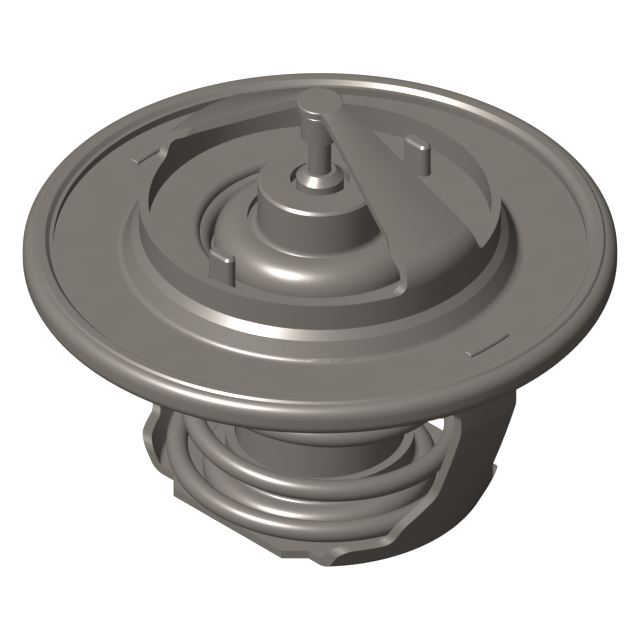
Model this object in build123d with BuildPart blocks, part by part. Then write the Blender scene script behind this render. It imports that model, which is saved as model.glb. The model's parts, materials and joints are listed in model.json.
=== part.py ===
"""Engine coolant valve with a wax element: flange and seat, bridge, moving element, spring and lower frame.

Millimetres. The Z axis is the valve's axis and +Z points to the bridge. Z = 0 is the middle of the rim seal.
The bridge's arms and the lower frame's legs lie along X.
"""
import os
from math import cos, radians, sin, sqrt, tan

from build123d import *
from numpy import interp

os.makedirs("parts", exist_ok=True)

# Clearances
slide_gap = 0.06
press_gap = 0.02
seat_gap = 0.05
wall_gap = 0.35
collar_gap = 0.1

# Rim seal
seal_radius = 33.5
seal_half_height = 1.67
seal_width = 3.26
seal_corner = 1.07
seal_ridge_inset = 2.2
seal_ridge_flat = 0.66
seal_ridge_height = 0.4
seal_grip = 1.95

# Flange plate with its raised seat
flange_sheet = 1.1
flange_top = 0.68
dome_radius = 21.25
dome_top = 2.86
dome_angle = 62.0
dome_root_fillet = 0.85
seat_radius = 12.3
seat_roll = 1.3
seat_depth = 2.25
lug_inset = 2.0
lug_thickness = 1.5
lug_length = 3.55
lug_height = 3.88
lug_chamfer = 0.27
lug_gap = 0.12

# Bridge
bridge_sheet = 1.05
collar_radius = 20.38
collar_height = 3.19
foot_height = 0.95
bridge_hole_step = 1.25
bridge_hole_round = 0.85
pad_radius = 2.6
pad_top = 21.07
pad_edge_round = 0.25
arm_sheet = 0.92
roof_angle = 33.4
roof_bend = 3.4
arm_top_half_width = 1.74
arm_end = 15.2
arm_end_half_width = 4.5
arm_flare_length = 1.4
arm_flare_width = 0.7
arm_foot_spread = 0.25
window_corner = 1.3

# Piston and its seat under the pad
piston_radius = 1.27
piston_tip = -16.0
piston_tip_length = 2.2
piston_tip_radius = 0.5
piston_head_chamfer = 0.2
pin_seat_radius = 2.18
pin_seat_length = 4.23
pin_seat_chamfer = 0.4
pin_seat_end_taper = 0.6
pin_seat_roof = 0.6

# Element: guide, wiper, crimped cup, boot and wax
guide_radius = 7.04
guide_top = 10.34
guide_chamfer = 0.3
guide_flange = 1.3
guide_fillet = 0.8
recess_radius = 3.38
recess_depth = 1.4
wiper_radius = 2.69
wiper_cone_top_radius = 1.8
wiper_cone_height = 0.85
wiper_stand = 0.45
crimp_wall = 0.8
crimp_lip = 0.6
crimp_lip_step = 0.11
crimp_corner = 0.8
cup_radius = 9.5
cup_wall = 1.4
cup_floor = 1.2
cup_bottom = -29.0
cup_corner = 1.2
backup_ring_radius = 2.9
backup_ring_height = 1.2
boot_flange = 1.0
boot_wall = 1.2
boot_end = 1.3
boot_slack = 0.05
boot_tip_gap = 0.3

# Valve disc
valve_sheet = 0.95
crown_top = 5.12
crown_hole_step = 0.25
crown_round_limit = 3.0
crown_flat = 0.3
valve_rim = 2.5
valve_bend = 1.2

# Lower frame
frame_sheet = 1.05
leg_inset = 2.99
leg_knee = -9.42
leg_slope = 17.2
leg_curve = 125.0
leg_knee_bend = 3.0
base_top = -29.38
base_bend = 1.53
leg_top_half_width = 7.0
leg_top_bottom = -6.2
leg_top_round = 1.6
leg_half_width = 4.4
leg_narrow_bottom = -19.9
leg_narrow_round = 3.0
leg_flare_half_width = 7.1
leg_flare_bottom = -24.3
leg_foot_half_width = 7.5
leg_foot_round = 1.2
leg_shoulder = -27.0
leg_shoulder_round = 1.3
neck_half_width = 12.6
plate_half_width = 14.73
plate_half_length = 10.75
tab_half_width = 3.02
tab_stand = 0.3
tab_chamfer = 0.15
slot_gap = 0.06
boss_shelf = 2.57
boss_height = 2.4
boss_round = 1.6
guide_collar_top = -24.2
collar_root_fillet = 0.5
core_margin = 2.1

# Main spring: each station gives turns from the top, share of the widening and share of the drop
wire_radius = 1.22
spring_top_gap = 0.1
spring_belly_gap = 1.76
spring_seat_offset = 1.0
spring_start_azimuth = -45.0
spring_points_per_turn = 8
spring_stations = (
    (0.00, 0.00, 0.000),
    (0.75, 0.00, 0.020),
    (2.00, 0.02, 0.318),
    (3.00, 0.14, 0.530),
    (3.50, 0.38, 0.649),
    (4.00, 0.52, 0.783),
    (4.50, 0.85, 0.874),
    (4.75, 1.00, 0.919),
    (5.00, 0.92, 0.960),
    (5.25, 0.90, 1.000),
)

# Levels and radii that follow
seal_lip_radius = seal_radius - seal_width
seal_ridge_radius = seal_radius - seal_ridge_inset
flange_bottom = flange_top - flange_sheet
floor_top = dome_top + bridge_sheet
collar_top = floor_top + collar_height
pad_bottom = pad_top - arm_sheet
bridge_hole_radius = seat_radius + bridge_hole_step
lug_centre = bridge_hole_radius + lug_inset
valve_wall_radius = seat_radius - wall_gap
seat_bottom = dome_top - seat_depth
valve_rim_top = seat_bottom - seat_gap
valve_rim_bottom = valve_rim_top - valve_sheet
ledge_top = crown_top - valve_sheet
guide_flange_top = ledge_top - crimp_lip
guide_flange_bottom = guide_flange_top - guide_flange
boot_flange_bottom = guide_flange_bottom - boot_flange
crimp_inner = cup_radius - crimp_wall
crimp_lip_radius = guide_radius + guide_fillet + crimp_lip_step
crown_hole_radius = crimp_lip_radius + crown_hole_step
crown_round = min(crown_round_limit, valve_wall_radius - crown_hole_radius - crown_flat)
cup_inner = cup_radius - cup_wall
frame_collar_radius = cup_radius + collar_gap
frame_collar_outer = frame_collar_radius + frame_sheet
boss_radius = frame_collar_outer + boss_shelf
base_bottom = base_top - frame_sheet
recess_floor = guide_top - recess_depth
leg_radius = seal_lip_radius - leg_inset
leg_inner = leg_radius - frame_sheet
reach = 2 * leg_radius


def corner_near(sketch, across, up):
    """Pick the corner of a sketch that lies nearest to this point."""
    return sketch.vertices().sort_by_distance((across, up, 0))[:1]


# Rim seal: a ring with a U section that grips the flange's edge, and a sealing ridge on each face
with BuildPart() as rim_seal:
    with BuildSketch(Plane.XZ) as seal_section:
        with BuildLine():
            ridge_inner = seal_ridge_radius - seal_ridge_flat / 2
            ridge_outer = seal_ridge_radius + seal_ridge_flat / 2
            ridge_top = seal_half_height + seal_ridge_height
            groove_radius = seal_lip_radius + seal_grip
            Polyline(
                (seal_lip_radius, flange_top),
                (seal_lip_radius, seal_half_height),
                (ridge_inner - seal_ridge_height, seal_half_height),
                (ridge_inner, ridge_top),
                (ridge_outer, ridge_top),
                (ridge_outer + seal_ridge_height, seal_half_height),
                (seal_radius, seal_half_height),
                (seal_radius, -seal_half_height),
                (ridge_outer + seal_ridge_height, -seal_half_height),
                (ridge_outer, -ridge_top),
                (ridge_inner, -ridge_top),
                (ridge_inner - seal_ridge_height, -seal_half_height),
                (seal_lip_radius, -seal_half_height),
                (seal_lip_radius, flange_bottom),
                (groove_radius, flange_bottom),
                (groove_radius, flange_top),
                close=True,
            )
        make_face()
        fillet(seal_section.vertices().group_by(Axis.X)[-1], radius=seal_corner)
    revolve(axis=Axis.Z)
rim_seal.part.label = "rim_seal"
export_step(rim_seal.part, "parts/rim_seal.step")

# Flange plate: a flat rim, a raised dome and a valve seat rolled down at its hole
flange_radius = groove_radius - press_gap
dome_run = (dome_top - flange_top) / tan(radians(dome_angle))
sheet_shift = flange_sheet * tan(radians(dome_angle / 2))
with BuildPart() as flange_plate:
    with BuildSketch(Plane.XZ) as flange_section:
        with BuildLine():
            Polyline(
                (flange_radius, flange_bottom),
                (flange_radius, flange_top),
                (dome_radius + dome_run, flange_top),
                (dome_radius, dome_top),
                (seat_radius, dome_top),
                (seat_radius, seat_bottom),
                (seat_radius + flange_sheet, seat_bottom),
                (seat_radius + flange_sheet, dome_top - flange_sheet),
                (dome_radius - sheet_shift, dome_top - flange_sheet),
                (dome_radius + dome_run - sheet_shift, flange_bottom),
                close=True,
            )
        make_face()
        fillet(corner_near(flange_section, dome_radius + dome_run, flange_top), radius=dome_root_fillet)
        fillet(corner_near(flange_section, seat_radius, dome_top), radius=seat_roll)
        seat_bend = corner_near(flange_section, seat_radius + flange_sheet, dome_top - flange_sheet)
        fillet(seat_bend, radius=seat_roll - flange_sheet)
    revolve(axis=Axis.Z)
    with BuildSketch(Plane.XY.offset(dome_top)):
        with Locations((0, lug_centre), (0, -lug_centre)):
            SlotOverall(lug_length, lug_thickness)
    extrude(amount=lug_height + bridge_sheet)
    chamfer(flange_plate.edges().group_by(Axis.Z)[-1], length=lug_chamfer)
    with BuildSketch(Plane.XY.offset(flange_bottom)):
        Circle(leg_radius + slot_gap)
        Circle(leg_inner - slot_gap, mode=Mode.SUBTRACT)
        Rectangle(2 * reach, 2 * (tab_half_width + slot_gap), mode=Mode.INTERSECT)
    extrude(amount=flange_sheet, mode=Mode.SUBTRACT)
flange_plate.part.label = "flange_plate"
export_step(flange_plate.part, "parts/flange_plate.step")

# What is cut away beside the bridge's arms, above the collar: seen from the end and then from above
collar_inner = collar_radius - bridge_sheet
roof_drop = tan(radians(roof_angle))
roof_edge = pad_top - roof_drop * (collar_radius - pad_radius)
roof_shift = arm_sheet * tan(radians(roof_angle / 2))
wall_shift = arm_sheet / cos(radians(roof_angle)) - bridge_sheet * roof_drop
arm_end_height = pad_top - roof_drop * (arm_end - pad_radius)
window_side = arm_end_half_width + arm_foot_spread * (arm_end_height - collar_top)
window_top_side = arm_end_half_width - arm_foot_spread * (pad_top - arm_end_height)
flare_end = arm_end + arm_flare_length
flare_half_width = arm_end_half_width + arm_flare_width
with BuildPart() as bridge_windows:
    with BuildSketch(Plane.YZ) as window_outline:
        with BuildLine():
            Polyline(
                (window_side, collar_top),
                (reach, collar_top),
                (reach, pad_top),
                (window_top_side, pad_top),
                close=True,
            )
        make_face()
        fillet(corner_near(window_outline, window_side, collar_top), radius=window_corner)
    extrude(amount=reach, both=True)
    with BuildSketch(Plane.XY.offset(collar_top)):
        with BuildLine():
            Polyline(
                (-flare_end, reach),
                (-flare_end, flare_half_width),
                (-arm_end, arm_end_half_width),
                (-pad_radius, arm_top_half_width),
                (pad_radius, arm_top_half_width),
                (arm_end, arm_end_half_width),
                (flare_end, flare_half_width),
                (flare_end, reach),
                close=True,
            )
        make_face()
    extrude(amount=pad_top - collar_top)
    mirror(about=Plane.XZ)

# Bridge: a drawn cup on the seat, cut away into two arms that carry a round pad over the axis
with BuildPart() as bridge:
    with BuildSketch(Plane.XZ) as bridge_section:
        with BuildLine():
            Polyline(
                (0, pad_top),
                (pad_radius, pad_top),
                (collar_radius, roof_edge),
                (collar_radius, dome_top + foot_height),
                (dome_radius, dome_top),
                (bridge_hole_radius, dome_top),
                (bridge_hole_radius, floor_top),
                (collar_inner, floor_top),
                (collar_inner, roof_edge - wall_shift),
                (pad_radius - roof_shift, pad_bottom),
                (0, pad_bottom),
                close=True,
            )
        make_face()
        fillet(corner_near(bridge_section, collar_radius, roof_edge), radius=roof_bend)
        inner_bend = corner_near(bridge_section, collar_inner, roof_edge - wall_shift)
        fillet(inner_bend, radius=roof_bend - bridge_sheet)
        fillet(corner_near(bridge_section, bridge_hole_radius, floor_top), radius=bridge_hole_round)
    revolve(axis=Axis.Z)
    add(bridge_windows.part, mode=Mode.SUBTRACT)
    with BuildSketch(Plane.XZ) as pad_section:
        with BuildLine():
            Polyline(
                (0, pad_bottom),
                (pad_radius, pad_bottom),
                (pad_radius, pad_top),
                (0, pad_top),
                close=True,
            )
        make_face()
        fillet(corner_near(pad_section, pad_radius, pad_top), radius=pad_edge_round)
    revolve(axis=Axis.Z)
    with BuildSketch(Plane.XY.offset(dome_top)):
        with Locations((0, lug_centre), (0, -lug_centre)):
            SlotOverall(lug_length + 2 * lug_gap, lug_thickness + 2 * lug_gap)
    extrude(amount=bridge_sheet, mode=Mode.SUBTRACT)
bridge.part.label = "bridge"
export_step(bridge.part, "parts/bridge.step")

# Pin seat: a blind socket fixed under the pad, which holds the piston's head
pin_seat_bottom = pad_bottom - pin_seat_length
socket_top = pad_bottom - pin_seat_roof
socket_radius = piston_radius + press_gap
with BuildPart() as pin_seat:
    with BuildSketch(Plane.XZ):
        with BuildLine():
            Polyline(
                (0, pad_bottom),
                (pin_seat_radius - pin_seat_chamfer, pad_bottom),
                (pin_seat_radius, pad_bottom - pin_seat_chamfer),
                (pin_seat_radius, pin_seat_bottom + pin_seat_chamfer),
                (pin_seat_radius - pin_seat_end_taper, pin_seat_bottom),
                (socket_radius, pin_seat_bottom),
                (socket_radius, socket_top),
                (0, socket_top),
                close=True,
            )
        make_face()
    revolve(axis=Axis.Z)
pin_seat.part.label = "pin_seat"
export_step(pin_seat.part, "parts/pin_seat.step")

# Piston: a polished pin with a tapered lower end
with BuildPart() as piston:
    with BuildSketch(Plane.XZ):
        with BuildLine():
            Polyline(
                (0, socket_top),
                (piston_radius - piston_head_chamfer, socket_top),
                (piston_radius, socket_top - piston_head_chamfer),
                (piston_radius, piston_tip + piston_tip_length),
                (piston_tip_radius, piston_tip),
                (0, piston_tip),
                close=True,
            )
        make_face()
    revolve(axis=Axis.Z)
piston.part.label = "piston"
export_step(piston.part, "parts/piston.step")

# Element guide: the turned body that slides on the piston
piston_bore = piston_radius + slide_gap
guide_flange_radius = crimp_inner - press_gap
guide_shoulder_radius = crimp_lip_radius - press_gap
backup_ring_top = guide_flange_bottom + backup_ring_height
with BuildPart() as element_guide:
    with BuildSketch(Plane.XZ) as guide_section:
        with BuildLine():
            Polyline(
                (piston_bore, recess_floor),
                (recess_radius, recess_floor),
                (recess_radius, guide_top),
                (guide_radius - guide_chamfer, guide_top),
                (guide_radius, guide_top - guide_chamfer),
                (guide_radius, ledge_top),
                (guide_shoulder_radius, ledge_top),
                (guide_shoulder_radius, guide_flange_top),
                (guide_flange_radius, guide_flange_top),
                (guide_flange_radius, guide_flange_bottom),
                (backup_ring_radius + press_gap, guide_flange_bottom),
                (backup_ring_radius + press_gap, backup_ring_top),
                (piston_bore, backup_ring_top),
                close=True,
            )
        make_face()
        fillet(corner_near(guide_section, guide_radius, ledge_top), radius=guide_fillet)
    revolve(axis=Axis.Z)
element_guide.part.label = "element_guide"
export_step(element_guide.part, "parts/element_guide.step")

# Piston wiper: a stiff ring with a coned top, pressed into the guide's recess
with BuildPart() as piston_wiper:
    with BuildSketch(Plane.XZ):
        wiper_edge = guide_top + wiper_stand
        with BuildLine():
            Polyline(
                (piston_bore, recess_floor),
                (wiper_radius, recess_floor),
                (wiper_radius, wiper_edge),
                (wiper_cone_top_radius, wiper_edge + wiper_cone_height),
                (piston_bore, wiper_edge + wiper_cone_height),
                close=True,
            )
        make_face()
    revolve(axis=Axis.Z)
piston_wiper.part.label = "piston_wiper"
export_step(piston_wiper.part, "parts/piston_wiper.step")

# Backup ring: a stiff ring in the guide's lower end, which keeps the boot from being squeezed up the piston
with BuildPart() as backup_ring:
    with BuildSketch(Plane.XY.offset(guide_flange_bottom)):
        Circle(backup_ring_radius)
        Circle(piston_bore, mode=Mode.SUBTRACT)
    extrude(amount=backup_ring_height)
backup_ring.part.label = "backup_ring"
export_step(backup_ring.part, "parts/backup_ring.step")

# Boot: a rubber sleeve round the piston, clamped by its flange between the guide and the cup
boot_bore = piston_bore + boot_slack
boot_bottom = piston_tip - boot_end
boot_tip = piston_tip - boot_tip_gap
boot_flange_radius = guide_flange_radius
with BuildPart() as wax_boot:
    with BuildSketch(Plane.XZ):
        with BuildLine():
            Polyline(
                (boot_bore, guide_flange_bottom),
                (boot_flange_radius, guide_flange_bottom),
                (boot_flange_radius, boot_flange_bottom),
                (boot_bore + boot_wall, boot_flange_bottom),
                (boot_bore + boot_wall, boot_bottom),
                (0, boot_bottom),
                (0, boot_tip),
                (boot_bore, boot_tip),
                close=True,
            )
        make_face()
    revolve(axis=Axis.Z)
wax_boot.part.label = "wax_boot"
export_step(wax_boot.part, "parts/wax_boot.step")

# Wax charge: it fills the cup round the boot
with BuildPart() as wax_charge:
    with BuildSketch(Plane.XZ):
        wax_floor = cup_bottom + cup_floor + press_gap
        with BuildLine():
            Polyline(
                (boot_bore + boot_wall + press_gap, boot_flange_bottom - press_gap),
                (cup_inner - press_gap, boot_flange_bottom - press_gap),
                (cup_inner - press_gap, wax_floor),
                (0, wax_floor),
                (0, boot_bottom - press_gap),
                (boot_bore + boot_wall + press_gap, boot_bottom - press_gap),
                close=True,
            )
        make_face()
    revolve(axis=Axis.Z)
wax_charge.part.label = "wax_charge"
export_step(wax_charge.part, "parts/wax_charge.step")

# Element cup: a drawn can crimped over the guide's flange
with BuildPart() as element_cup:
    with BuildSketch(Plane.XZ) as cup_section:
        with BuildLine():
            Polyline(
                (0, cup_bottom),
                (cup_radius, cup_bottom),
                (cup_radius, ledge_top),
                (crimp_lip_radius, ledge_top),
                (crimp_lip_radius, guide_flange_top),
                (crimp_inner, guide_flange_top),
                (crimp_inner, boot_flange_bottom),
                (cup_inner, boot_flange_bottom),
                (cup_inner, cup_bottom + cup_floor),
                (0, cup_bottom + cup_floor),
                close=True,
            )
        make_face()
        fillet(corner_near(cup_section, cup_radius, ledge_top), radius=crimp_corner)
        fillet(corner_near(cup_section, cup_radius, cup_bottom), radius=cup_corner)
    revolve(axis=Axis.Z)
element_cup.part.label = "element_cup"
export_step(element_cup.part, "parts/element_cup.step")

# Valve disc: a domed sheet, with a rim that closes against the seat
rim_radius = valve_wall_radius + valve_rim
valve_inner = valve_wall_radius - valve_sheet
with BuildPart() as valve_disc:
    with BuildSketch(Plane.XZ) as valve_section:
        with BuildLine():
            Polyline(
                (crown_hole_radius, ledge_top),
                (crown_hole_radius, crown_top),
                (valve_wall_radius, crown_top),
                (valve_wall_radius, valve_rim_top),
                (rim_radius, valve_rim_top),
                (rim_radius, valve_rim_bottom),
                (valve_inner, valve_rim_bottom),
                (valve_inner, ledge_top),
                close=True,
            )
        make_face()
        fillet(corner_near(valve_section, valve_wall_radius, crown_top), radius=crown_round)
        fillet(corner_near(valve_section, valve_inner, ledge_top), radius=crown_round - valve_sheet)
        fillet(corner_near(valve_section, valve_inner, valve_rim_bottom), radius=valve_bend)
    revolve(axis=Axis.Z)
valve_disc.part.label = "valve_disc"
export_step(valve_disc.part, "parts/valve_disc.step")

# Lower frame: its two legs hold the flange, and its base carries the spring and guides the cup
boss_top = base_top + boss_height
boss_inner = boss_radius - frame_sheet
tab_top = flange_top + tab_stand
inner_curve = leg_curve - frame_sheet
curve_centre_radius = leg_radius - leg_curve * cos(radians(leg_slope))
curve_centre_height = leg_knee + leg_curve * sin(radians(leg_slope))
inner_knee_height = curve_centre_height - sqrt(inner_curve**2 - (leg_inner - curve_centre_radius) ** 2)


def leg_point(height, curve):
    """Give the point at this height on the side of a leg that has this curve."""
    return (curve_centre_radius + sqrt(curve**2 - (curve_centre_height - height) ** 2), height)


# What the drawn blank loses beside each leg, outside a core that keeps the boss and its collar
with BuildPart() as leg_sides:
    with BuildSketch(Plane.YZ) as side_outline:
        with BuildLine():
            Polyline(
                (tab_half_width, tab_top),
                (tab_half_width, flange_bottom),
                (leg_top_half_width, flange_bottom),
                (leg_top_half_width, leg_top_bottom),
                (leg_half_width, leg_top_bottom),
                (leg_half_width, leg_narrow_bottom),
                (leg_flare_half_width, leg_flare_bottom),
                (leg_foot_half_width, leg_shoulder),
                (neck_half_width, leg_shoulder),
                (neck_half_width, base_top),
                (reach, base_top),
                (reach, tab_top),
                close=True,
            )
        make_face()
        fillet(corner_near(side_outline, leg_half_width, leg_top_bottom), radius=leg_top_round)
        fillet(corner_near(side_outline, leg_half_width, leg_narrow_bottom), radius=leg_narrow_round)
        fillet(corner_near(side_outline, leg_flare_half_width, leg_flare_bottom), radius=leg_narrow_round)
        fillet(corner_near(side_outline, leg_foot_half_width, leg_shoulder), radius=leg_foot_round)
        fillet(corner_near(side_outline, neck_half_width, leg_shoulder), radius=leg_shoulder_round)
    extrude(amount=reach, both=True)
    with BuildSketch(Plane.XY.offset(base_top)):
        Circle(boss_radius + core_margin)
    extrude(amount=tab_top - base_top, mode=Mode.SUBTRACT)
    mirror(about=Plane.XZ)

# What the blank loses round the base plate, which keeps its chamfered ends and the necks to the legs
plate_corner = plate_half_width - neck_half_width
plate_end = plate_half_length - plate_corner
with BuildPart() as plate_sides:
    with BuildSketch(Plane.XY.offset(base_bottom)):
        Rectangle(2 * reach, 2 * reach)
        Rectangle(2 * reach, 2 * neck_half_width, mode=Mode.SUBTRACT)
        with BuildLine():
            Polyline(
                (-plate_half_length, neck_half_width),
                (-plate_end, plate_half_width),
                (plate_end, plate_half_width),
                (plate_half_length, neck_half_width),
                (plate_half_length, -neck_half_width),
                (plate_end, -plate_half_width),
                (-plate_end, -plate_half_width),
                (-plate_half_length, -neck_half_width),
                close=True,
            )
        make_face(mode=Mode.SUBTRACT)
    extrude(amount=frame_sheet)

# Lower frame: one drawn sheet, turned to its section and then cut to its outline
with BuildPart() as lower_frame:
    with BuildSketch(Plane.XZ) as frame_section:
        outer_knee = (leg_radius, leg_knee)
        inner_knee = (leg_inner, inner_knee_height)
        outer_middle = leg_point((leg_knee + base_bottom) / 2, leg_curve)
        inner_middle = leg_point((inner_knee_height + base_top) / 2, inner_curve)
        outer_base = leg_point(base_bottom, leg_curve)
        inner_base = leg_point(base_top, inner_curve)
        with BuildLine():
            Polyline(inner_knee, (leg_inner, tab_top), (leg_radius, tab_top), outer_knee)
            ThreePointArc(outer_knee, outer_middle, outer_base)
            Polyline(
                outer_base,
                (boss_inner, base_bottom),
                (boss_inner, boss_top - frame_sheet),
                (frame_collar_radius, boss_top - frame_sheet),
                (frame_collar_radius, guide_collar_top),
                (frame_collar_outer, guide_collar_top),
                (frame_collar_outer, boss_top),
                (boss_radius, boss_top),
                (boss_radius, base_top),
                inner_base,
            )
            ThreePointArc(inner_base, inner_middle, inner_knee)
        make_face()
        bends = (
            (outer_base, base_bend),
            (inner_base, base_bend - frame_sheet),
            (outer_knee, leg_knee_bend),
            (inner_knee, leg_knee_bend - frame_sheet),
            ((boss_radius, boss_top), boss_round),
            ((boss_inner, boss_top - frame_sheet), boss_round - frame_sheet),
            ((frame_collar_outer, boss_top), collar_root_fillet),
        )
        for bend_corner, bend_round in bends:
            fillet(corner_near(frame_section, *bend_corner), radius=bend_round)
    revolve(axis=Axis.Z)
    add(leg_sides.part, mode=Mode.SUBTRACT)
    add(plate_sides.part, mode=Mode.SUBTRACT)
    chamfer(lower_frame.edges().group_by(Axis.Z)[-1], length=tab_chamfer)
lower_frame.part.label = "lower_frame"
export_step(lower_frame.part, "parts/lower_frame.step")

# Main spring: a wire that widens below its upper turns, and whose last turn lies down on the base plate
spring_top = valve_rim_bottom - spring_top_gap - wire_radius
spring_foot = base_top + wire_radius
spring_top_radius = valve_wall_radius + spring_seat_offset
spring_widening = boss_radius + spring_belly_gap + wire_radius - spring_top_radius
station_turns = [turns for turns, widening, drop in spring_stations]
station_radii = [spring_top_radius + widening * spring_widening for turns, widening, drop in spring_stations]
spring_drop = spring_top - spring_foot
station_heights = [spring_top - drop * spring_drop for turns, widening, drop in spring_stations]


def wire_point(turns):
    """Give the wire's centre after this many turns from its upper end."""
    radius = interp(turns, station_turns, station_radii)
    azimuth = radians(spring_start_azimuth + 360 * turns)
    return (radius * cos(azimuth), radius * sin(azimuth), interp(turns, station_turns, station_heights))


wire_steps = round(station_turns[-1] * spring_points_per_turn)
with BuildPart() as main_spring:
    with BuildLine() as wire_line:
        Spline(*[wire_point(step / spring_points_per_turn) for step in range(wire_steps + 1)])
    with BuildSketch(Plane(wire_line.line @ 0, z_dir=wire_line.line % 0)):
        Circle(wire_radius)
    sweep(path=wire_line.line, is_frenet=True)
main_spring.part.label = "main_spring"
export_step(main_spring.part, "parts/main_spring.step")
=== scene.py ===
"""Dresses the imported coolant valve: satin sheet and turned metal, a rubber rim seal and a round wire spring.

Metres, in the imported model's own frame. +Z points to the bridge's pad, and X runs through the bridge's arms.
Azimuths are turned from +X towards +Y.
"""
import json
import math

import bpy
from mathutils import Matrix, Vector

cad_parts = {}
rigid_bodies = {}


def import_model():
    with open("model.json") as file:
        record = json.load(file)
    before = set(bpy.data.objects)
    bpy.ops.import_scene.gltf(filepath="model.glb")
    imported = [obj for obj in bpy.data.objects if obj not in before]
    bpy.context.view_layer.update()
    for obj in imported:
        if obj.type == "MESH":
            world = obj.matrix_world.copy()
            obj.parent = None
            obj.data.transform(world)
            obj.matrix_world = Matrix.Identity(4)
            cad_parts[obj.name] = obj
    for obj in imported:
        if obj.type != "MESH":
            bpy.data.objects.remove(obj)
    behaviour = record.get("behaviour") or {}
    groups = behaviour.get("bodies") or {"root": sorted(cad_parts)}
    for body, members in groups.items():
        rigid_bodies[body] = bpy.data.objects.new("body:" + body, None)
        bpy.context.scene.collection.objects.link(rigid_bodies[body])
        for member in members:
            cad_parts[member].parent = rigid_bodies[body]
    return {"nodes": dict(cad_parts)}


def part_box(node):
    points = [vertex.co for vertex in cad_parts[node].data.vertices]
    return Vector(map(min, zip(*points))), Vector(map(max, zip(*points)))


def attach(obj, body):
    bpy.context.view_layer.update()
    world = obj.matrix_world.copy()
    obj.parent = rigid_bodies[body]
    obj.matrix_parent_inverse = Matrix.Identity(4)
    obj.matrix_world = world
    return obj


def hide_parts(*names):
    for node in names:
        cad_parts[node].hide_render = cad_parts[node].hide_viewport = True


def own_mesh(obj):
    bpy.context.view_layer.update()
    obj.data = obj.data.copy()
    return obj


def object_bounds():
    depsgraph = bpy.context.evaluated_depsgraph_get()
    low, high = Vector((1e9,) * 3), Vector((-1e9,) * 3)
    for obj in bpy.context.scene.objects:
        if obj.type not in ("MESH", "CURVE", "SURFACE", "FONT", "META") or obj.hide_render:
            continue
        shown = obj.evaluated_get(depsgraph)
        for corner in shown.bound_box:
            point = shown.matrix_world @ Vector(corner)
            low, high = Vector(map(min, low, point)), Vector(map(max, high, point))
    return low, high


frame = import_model()
cad_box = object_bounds()

MM = 0.001

# Photograph's view: isometric, with the valve's axis on the picture's middle column
PICTURE_SIDE = 640
PIXELS_PER_MM = 8.88
AIM_HEIGHT = -9.21 * MM
CAMERA_AZIMUTH = math.radians(-45.0)
CAMERA_ELEVATION = math.radians(35.264)
CAMERA_DISTANCE = 0.4

# Key light, from the left front and above, and an even dim surround
KEY_AZIMUTH = math.radians(266.0)
KEY_ELEVATION = math.radians(52.7)
KEY_STRENGTH = 4.85
KEY_SPREAD = math.radians(8.0)
SURROUND_STRENGTH = 0.39
SURROUND_TONE = (1.0, 0.98, 0.96, 1.0)

# Floor
FLOOR_HALF_WIDTH = 2.0
FLOOR_GAP = 0.05 * MM
FLOOR_TONE = (0.72, 0.72, 0.72, 1.0)
FLOOR_ROUGHNESS = 0.9

# Tones read from the photograph, as linear colour, and the gloss of its satin surfaces
SATIN_TONE = (0.2195, 0.201, 0.180)
SATIN_METALLIC = 0.4
SATIN_ROUGHNESS = 0.385
PISTON_ROUGHNESS = 0.375
BOOT_TONE = (0.03, 0.03, 0.03)
BOOT_ROUGHNESS = 0.6
WAX_TONE = (0.30, 0.19, 0.08)
WAX_ROUGHNESS = 0.5
SPECULAR_LEVEL = 0.78

# Fine grain and the wide clouding of the tone
EVEN_GRAIN = (1.0, 1.0, 1.0)
TURNED_GRAIN = (0.15, 0.15, 8.0)
DRAWN_GRAIN = (1.0, 1.0, 0.1)
GRAIN_DETAIL = 4.0
GRAIN_DEPTH = 0.02 * MM
ROUGHNESS_SWING = 0.03
CLOUD_SCALE = 220.0
CLOUD_DETAIL = 3.0
CLOUD_SWING = 0.03

# Main spring, as in the CAD part: turns from the top, share of the widening, share of the drop
WIRE_RADIUS = 1.22 * MM
SPRING_TOP_RADIUS = 12.95 * MM
SPRING_WIDEST_RADIUS = 16.2 * MM
SPRING_START_AZIMUTH = math.radians(-45.0)
SPRING_STATIONS = (
    (0.00, 0.00, 0.000),
    (0.75, 0.00, 0.020),
    (2.00, 0.02, 0.318),
    (3.00, 0.14, 0.530),
    (3.50, 0.38, 0.649),
    (4.00, 0.52, 0.783),
    (4.50, 0.85, 0.874),
    (4.75, 1.00, 0.919),
    (5.00, 0.92, 0.960),
    (5.25, 0.90, 1.000),
)
SPRING_TURNS = SPRING_STATIONS[-1][0]
WIDENING, DROP = 1, 2
STEPS_PER_TURN = 96
WIRE_SIDES = 32

# Rim seal's upper half from the inner lip outwards, in mm: radius, height, round of the corner
SEAL_CORNERS = (
    (30.06, 1.61, 0.0),
    (30.50, 1.61, 0.05),
    (30.95, 2.12, 0.24),
    (31.95, 2.12, 0.06),
    (32.18, 1.86, 0.04),
    (32.40, 1.84, 0.0),
)
CORNER_STEPS = 6

# Round from the seal's face to its outer wall, with the tilt at which it takes over from the last corner
SEAL_RADIUS = 33.5
SEAL_EDGE_ROUND = 1.45
SEAL_EDGE_FIRST_TILT = 12.0
SEAL_EDGE_STEPS = 15
SEAL_WALL_HALF_HEIGHT = 0.43

# Groove for the flange's edge, in mm: radius of its floor, heights of its top and bottom
SEAL_GROOVE = (32.19, 0.68, -0.42)
SEAL_STEPS = 288
SHARP_ANGLE = math.radians(35.0)


def direction(azimuth, elevation):
    """Unit vector from the valve towards this azimuth and elevation."""
    return Vector((
        math.cos(elevation) * math.cos(azimuth),
        math.cos(elevation) * math.sin(azimuth),
        math.sin(elevation),
    ))


def add_object(name, data):
    """Put an object with this data into the scene."""
    thing = bpy.data.objects.new(name, data)
    bpy.context.scene.collection.objects.link(thing)
    return thing


def new_material(name):
    """Give an empty node material and its tree."""
    material = bpy.data.materials.new(name)
    material.use_nodes = True
    return material, material.node_tree


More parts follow.
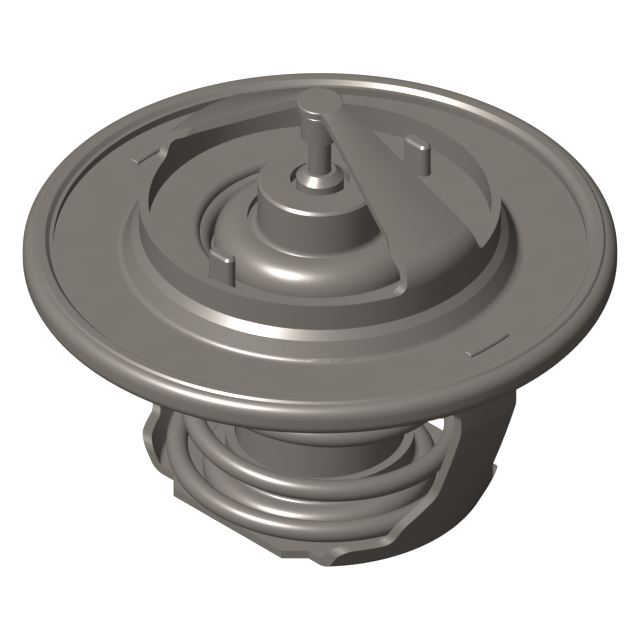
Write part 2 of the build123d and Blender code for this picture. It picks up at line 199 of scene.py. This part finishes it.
def grain_material(name, tone, metallic, roughness, stretch, grain_scale, bump):
    """Satin surface: a tone that varies a little, a fine stretched grain in the roughness and in the bump."""
    material, tree = new_material(name)
    nodes, links = tree.nodes, tree.links
    shader = nodes["Principled BSDF"]
    shader.inputs["Metallic"].default_value = metallic
    shader.inputs["Specular IOR Level"].default_value = SPECULAR_LEVEL
    place = nodes.new("ShaderNodeTexCoord")
    mapping = nodes.new("ShaderNodeMapping")
    mapping.inputs["Scale"].default_value = stretch
    links.new(place.outputs["Object"], mapping.inputs["Vector"])
    grain = nodes.new("ShaderNodeTexNoise")
    grain.inputs["Scale"].default_value = grain_scale
    grain.inputs["Detail"].default_value = GRAIN_DETAIL
    links.new(mapping.outputs["Vector"], grain.inputs["Vector"])
    cloud = nodes.new("ShaderNodeTexNoise")
    cloud.inputs["Scale"].default_value = CLOUD_SCALE
    cloud.inputs["Detail"].default_value = CLOUD_DETAIL
    links.new(place.outputs["Object"], cloud.inputs["Vector"])

    colour = nodes.new("ShaderNodeMix")
    colour.data_type = "RGBA"
    colour.inputs["A"].default_value = (*[c * (1 - CLOUD_SWING) for c in tone], 1.0)
    colour.inputs["B"].default_value = (*[c * (1 + CLOUD_SWING) for c in tone], 1.0)
    links.new(cloud.outputs["Fac"], colour.inputs["Factor"])
    links.new(colour.outputs["Result"], shader.inputs["Base Color"])

    rough = nodes.new("ShaderNodeMapRange")
    rough.inputs["To Min"].default_value = roughness - ROUGHNESS_SWING
    rough.inputs["To Max"].default_value = roughness + ROUGHNESS_SWING
    links.new(grain.outputs["Fac"], rough.inputs["Value"])
    links.new(rough.outputs["Result"], shader.inputs["Roughness"])

    relief = nodes.new("ShaderNodeBump")
    relief.inputs["Strength"].default_value = bump
    relief.inputs["Distance"].default_value = GRAIN_DEPTH
    links.new(grain.outputs["Fac"], relief.inputs["Height"])
    links.new(relief.outputs["Normal"], shader.inputs["Normal"])
    return material


def satin(name, roughness, stretch, grain_scale, bump):
    """One of the surfaces that share the photograph's warm grey."""
    return grain_material(name, SATIN_TONE, SATIN_METALLIC, roughness, stretch, grain_scale, bump)


sheet_metal = satin("sheet_steel", SATIN_ROUGHNESS, EVEN_GRAIN, 2600.0, 0.10)
turned_metal = satin("turned_metal", SATIN_ROUGHNESS, TURNED_GRAIN, 1800.0, 0.10)
wire_metal = satin("spring_wire", SATIN_ROUGHNESS, EVEN_GRAIN, 2200.0, 0.10)
piston_metal = satin("piston_steel", PISTON_ROUGHNESS, DRAWN_GRAIN, 2400.0, 0.05)
seal_rubber = satin("seal_rubber", SATIN_ROUGHNESS, EVEN_GRAIN, 3200.0, 0.12)
wiper_plastic = satin("wiper_plastic", SATIN_ROUGHNESS, EVEN_GRAIN, 3000.0, 0.10)
boot_rubber = grain_material("boot_rubber", BOOT_TONE, 0.0, BOOT_ROUGHNESS, EVEN_GRAIN, 3000.0, 0.10)
wax_solid = grain_material("wax", WAX_TONE, 0.0, WAX_ROUGHNESS, EVEN_GRAIN, 900.0, 0.10)

NODE_MATERIALS = {
    "rim_seal": seal_rubber,
    "flange_plate": sheet_metal,
    "bridge": sheet_metal,
    "pin_seat": turned_metal,
    "piston": piston_metal,
    "lower_frame": sheet_metal,
    "main_spring": wire_metal,
    "element_guide": turned_metal,
    "piston_wiper": wiper_plastic,
    "backup_ring": wiper_plastic,
    "element_cup": turned_metal,
    "wax_boot": boot_rubber,
    "wax_charge": wax_solid,
    "valve_disc": sheet_metal,
}


def paint_nodes():
    """Give each CAD node its material."""
    for name, material in NODE_MATERIALS.items():
        node = frame["nodes"][name]
        node.data.materials.clear()
        node.data.materials.append(material)


def eased(turns, column):
    """Read one column of the spring's stations at this many turns."""
    for low, high in zip(SPRING_STATIONS, SPRING_STATIONS[1:]):
        if turns <= high[0]:
            share = (turns - low[0]) / (high[0] - low[0])
            return low[column] + share * (high[column] - low[column])
    return SPRING_STATIONS[-1][column]


def smooth_read(turns, column, spread=0.12, samples=9):
    """Average a column over a short stretch of the wire, so that its slope has no kinks."""
    total = 0.0
    for index in range(samples):
        offset = spread * (2 * index / (samples - 1) - 1)
        total += eased(min(max(turns + offset, 0.0), SPRING_TURNS), column)
    return total / samples


def spring_line(foot, top):
    """Points of the coil's centre line, from the top end down to the foot."""
    points = []
    for step in range(round(SPRING_TURNS * STEPS_PER_TURN) + 1):
        turns = step / STEPS_PER_TURN
        widening = smooth_read(turns, WIDENING)
        radius = SPRING_TOP_RADIUS + widening * (SPRING_WIDEST_RADIUS - SPRING_TOP_RADIUS)
        height = top + smooth_read(turns, DROP) * (foot - top)
        azimuth = SPRING_START_AZIMUTH + 2 * math.pi * turns
        points.append((radius * math.cos(azimuth), radius * math.sin(azimuth), height))
    return points


def round_wire_tree():
    """Node tree that makes a round wire along the edges of a mesh."""
    tree = bpy.data.node_groups.new("round_wire", "GeometryNodeTree")
    tree.interface.new_socket("Geometry", in_out="INPUT", socket_type="NodeSocketGeometry")
    tree.interface.new_socket("Geometry", in_out="OUTPUT", socket_type="NodeSocketGeometry")
    nodes, links = tree.nodes, tree.links
    entry = nodes.new("NodeGroupInput")
    to_curve = nodes.new("GeometryNodeMeshToCurve")
    section = nodes.new("GeometryNodeCurvePrimitiveCircle")
    section.inputs["Resolution"].default_value = WIRE_SIDES
    section.inputs["Radius"].default_value = WIRE_RADIUS
    tube = nodes.new("GeometryNodeCurveToMesh")
    tube.inputs["Fill Caps"].default_value = True
    smooth = nodes.new("GeometryNodeSetShadeSmooth")
    paint = nodes.new("GeometryNodeSetMaterial")
    paint.inputs["Material"].default_value = wire_metal
    leave = nodes.new("NodeGroupOutput")
    links.new(entry.outputs["Geometry"], to_curve.inputs["Mesh"])
    links.new(to_curve.outputs["Curve"], tube.inputs["Curve"])
    links.new(section.outputs["Curve"], tube.inputs["Profile Curve"])
    links.new(tube.outputs["Mesh"], smooth.inputs["Geometry"])
    links.new(smooth.outputs["Geometry"], paint.inputs["Geometry"])
    links.new(paint.outputs["Geometry"], leave.inputs["Geometry"])
    return tree


def make_spring():
    """Round wire along the coil's centre line, swept along the line by a node modifier, so the wire stays
    round.
    """
    low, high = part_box("main_spring")
    foot = low[2] + WIRE_RADIUS
    top = high[2] - WIRE_RADIUS
    points = spring_line(foot, top)
    mesh = bpy.data.meshes.new("main_spring_wire")
    mesh.from_pydata(points, [(i, i + 1) for i in range(len(points) - 1)], [])
    mesh.materials.append(wire_metal)
    wire = add_object("main_spring_wire", mesh)
    modifier = wire.modifiers.new("round_wire", "NODES")
    modifier.node_group = round_wire_tree()
    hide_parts("main_spring")
    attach(wire, "root")
    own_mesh(wire)


def rounded(corners):
    """Replace each inner corner of an open line of (radius, height, round) by an arc of points."""
    line = [corners[0][:2]]
    for before, (across, up, size), after in zip(corners, corners[1:], corners[2:]):
        corner = Vector((across, up))
        back_way = (Vector(before[:2]) - corner).normalized()
        on_way = (Vector(after[:2]) - corner).normalized()
        half_turn = back_way.angle(on_way) / 2
        middle = corner + (back_way + on_way).normalized() * size / math.sin(half_turn)
        start = corner + back_way * size / math.tan(half_turn) - middle
        end = corner + on_way * size / math.tan(half_turn) - middle
        for step in range(CORNER_STEPS + 1):
            arm = start.lerp(end, step / CORNER_STEPS).normalized() * size
            line.append(tuple(middle + arm))
    return line


def seal_section():
    """Closed section of the rim seal: two equal faces with a ridge each, and the flange's groove."""
    upper = rounded(SEAL_CORNERS)
    middle = SEAL_RADIUS - SEAL_EDGE_ROUND
    for step in range(SEAL_EDGE_STEPS + 1):
        share = step / SEAL_EDGE_STEPS
        tilt = math.radians(SEAL_EDGE_FIRST_TILT + (90.0 - SEAL_EDGE_FIRST_TILT) * share)
        upper.append((
            middle + SEAL_EDGE_ROUND * math.sin(tilt),
            SEAL_WALL_HALF_HEIGHT + SEAL_EDGE_ROUND * math.cos(tilt),
        ))
    lower = [(across, -up) for across, up in reversed(upper)]
    lip = SEAL_CORNERS[0][0]
    groove, top, bottom = SEAL_GROOVE
    return [(lip, top), *upper, *lower, (lip, bottom), (groove, bottom), (groove, top)]


def make_seal():
    """Rim seal turned from its section, with the soft edges the photograph shows."""
    section = seal_section()
    count = len(section)
    points, faces = [], []
    for step in range(SEAL_STEPS):
        azimuth = 2 * math.pi * step / SEAL_STEPS
        for across, up in section:
            points.append((across * MM * math.cos(azimuth), across * MM * math.sin(azimuth), up * MM))
        here, there = step * count, (step + 1) % SEAL_STEPS * count
        for index in range(count):
            after = (index + 1) % count
            faces.append((here + after, here + index, there + index, there + after))
    mesh = bpy.data.meshes.new("rim_seal_turned")
    mesh.from_pydata(points, [], faces)
    mesh.shade_smooth()
    mesh.set_sharp_from_angle(angle=SHARP_ANGLE)
    mesh.materials.append(seal_rubber)
    seal = add_object("rim_seal_turned", mesh)
    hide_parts("rim_seal")
    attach(seal, "root")


def make_floor():
    """Pale floor, a hair under the base plate."""
    half = FLOOR_HALF_WIDTH
    corners = [(-half, -half, 0), (half, -half, 0), (half, half, 0), (-half, half, 0)]
    mesh = bpy.data.meshes.new("floor")
    mesh.from_pydata(corners, [], [(0, 1, 2, 3)])
    material, tree = new_material("floor_pale")
    shader = tree.nodes["Principled BSDF"]
    shader.inputs["Roughness"].default_value = FLOOR_ROUGHNESS
    shader.inputs["Specular IOR Level"].default_value = 0.0
    shader.inputs["Base Color"].default_value = FLOOR_TONE
    mesh.materials.append(material)
    floor = add_object("floor", mesh)
    floor.location.z = cad_box[0][2] - FLOOR_GAP


def part_light():
    """Keep light and shade from passing between faces, as in the photograph."""
    for thing in bpy.data.objects:
        if thing.type == "MESH":
            thing.visible_diffuse = False
            thing.visible_glossy = False
            thing.visible_shadow = False


def make_lights():
    """Key light without shadows, and a surround that the pieces don't mirror."""
    key_data = bpy.data.lights.new("key", "SUN")
    key_data.energy = KEY_STRENGTH
    key_data.angle = KEY_SPREAD
    key_data.use_shadow = False
    key = add_object("key", key_data)
    key.rotation_mode = "QUATERNION"
    key.rotation_quaternion = direction(KEY_AZIMUTH, KEY_ELEVATION).to_track_quat("Z", "Y")

    world = bpy.data.worlds.new("studio")
    world.use_nodes = True
    background = world.node_tree.nodes["Background"]
    background.inputs["Color"].default_value = SURROUND_TONE
    background.inputs["Strength"].default_value = SURROUND_STRENGTH
    bpy.context.scene.world = world
    world.cycles_visibility.glossy = False
    bpy.context.scene.view_settings.view_transform = "Standard"


def make_camera():
    """Camera at the photograph's angle."""
    camera_data = bpy.data.cameras.new("camera")
    camera_data.type = "ORTHO"
    camera_data.ortho_scale = PICTURE_SIDE / PIXELS_PER_MM * MM
    camera = add_object("camera", camera_data)
    back = direction(CAMERA_AZIMUTH, CAMERA_ELEVATION)
    camera.location = Vector((0, 0, AIM_HEIGHT)) + back * CAMERA_DISTANCE
    camera.rotation_mode = "QUATERNION"
    camera.rotation_quaternion = back.to_track_quat("Z", "Y")
    bpy.context.scene.camera = camera


paint_nodes()
make_spring()
make_seal()
make_floor()
part_light()
make_lights()
make_camera()
